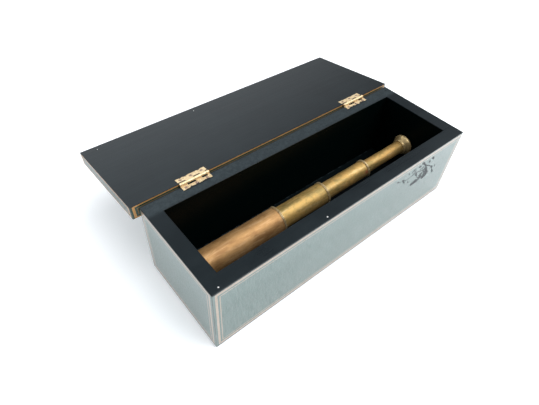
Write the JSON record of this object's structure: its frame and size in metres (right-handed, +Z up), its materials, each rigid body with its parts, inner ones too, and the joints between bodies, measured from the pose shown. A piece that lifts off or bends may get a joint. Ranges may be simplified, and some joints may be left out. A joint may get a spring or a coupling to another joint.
{
  "type": "brass draw telescope in a hinged case",
  "caption": "Brass hand telescope with sliding draw tubes, lying partly drawn out in its own black-lined wooden case with a hinged lid.",
  "frame": {"origin": "centre of the case's flat underside", "axes": "+X along the case towards the telescope's eyepiece, +Y towards the hinges and the open lid, +Z up"},
  "size_m": [0.4122, 0.2731, 0.1088],
  "materials": {
    "black_board": "satin black paint on board",
    "printed_covering": "dark green printed leatherette with gold border lines",
    "hinge_brass": "bright brass with paint on its edges",
    "screw_brass": "dull brass",
    "magnet_nickel": "nickel plated",
    "barrel_brass": "brown patina",
    "draw_brass": "golden patina, dull",
    "collar_brass": "pale rubbed brass",
    "blackened_brass": "blackened inside",
    "lens_glass": "polished"
  },
  "bodies": {
    "case": {"front_board": "black_board", "back_board": "black_board", "left_end_board": "black_board", "right_end_board": "black_board", "bottom_board": "black_board", "case_covering": "printed_covering", "hinge_leaf_case_left": "hinge_brass", "hinge_leaf_case_right": "hinge_brass", "hinge_pin_left": "hinge_brass", "hinge_pin_right": "hinge_brass", "hinge_screws_case": "screw_brass", "catch_magnets_case": "magnet_nickel"},
    "lid": {"lid_board": "black_board", "lid_covering": "printed_covering", "hinge_leaf_lid_left": "hinge_brass", "hinge_leaf_lid_right": "hinge_brass", "hinge_screws_lid": "screw_brass", "catch_magnets_lid": "magnet_nickel"},
    "barrel": {"barrel_tube": "barrel_brass", "barrel_collar": "collar_brass", "objective_ferrule": "collar_brass", "objective_cell": "blackened_brass", "objective_retaining_ring": "blackened_brass", "crown_lens": "lens_glass", "flint_lens": "lens_glass"},
    "draw_1": {"draw_1_tube": "draw_brass", "draw_1_collar": "collar_brass", "draw_1_stop_ring": "draw_brass"},
    "draw_2": {"draw_2_tube": "draw_brass", "draw_2_collar": "collar_brass", "draw_2_stop_ring": "draw_brass"},
    "draw_3": {"draw_3_tube": "draw_brass", "draw_3_stop_ring": "draw_brass", "erector_tube": "blackened_brass", "erector_lens_inner": "lens_glass", "erector_lens_outer": "lens_glass", "erector_stop": "blackened_brass", "eyepiece_tube": "blackened_brass", "field_lens": "lens_glass", "field_stop": "blackened_brass", "eye_lens": "lens_glass", "eyecup": "collar_brass"}
  },
  "joints": [
    {"name": "lid_hinge", "type": "hinge", "parent": "case", "child": "lid", "pos_m": [0, 0.06835, 0.1069], "axis": [1, 0, 0], "range_deg": [0, 187.7]},
    {"name": "telescope_lift", "type": "slide", "parent": "case", "child": "barrel", "axis": [0, 0, 1], "range_m": [0, 0.035]},
    {"name": "draw_1_slide", "type": "slide", "parent": "barrel", "child": "draw_1", "axis": [0.9969, -0.0428, 0.0666], "range_m": [-0.0705, 0]},
    {"name": "draw_2_slide", "type": "slide", "parent": "draw_1", "child": "draw_2", "axis": [0.9969, -0.0428, 0.0666], "range_m": [-0.0722, 0]},
    {"name": "draw_3_slide", "type": "slide", "parent": "draw_2", "child": "draw_3", "axis": [0.9969, -0.0428, 0.0666], "range_m": [-0.0699, 0]}
  ]
}
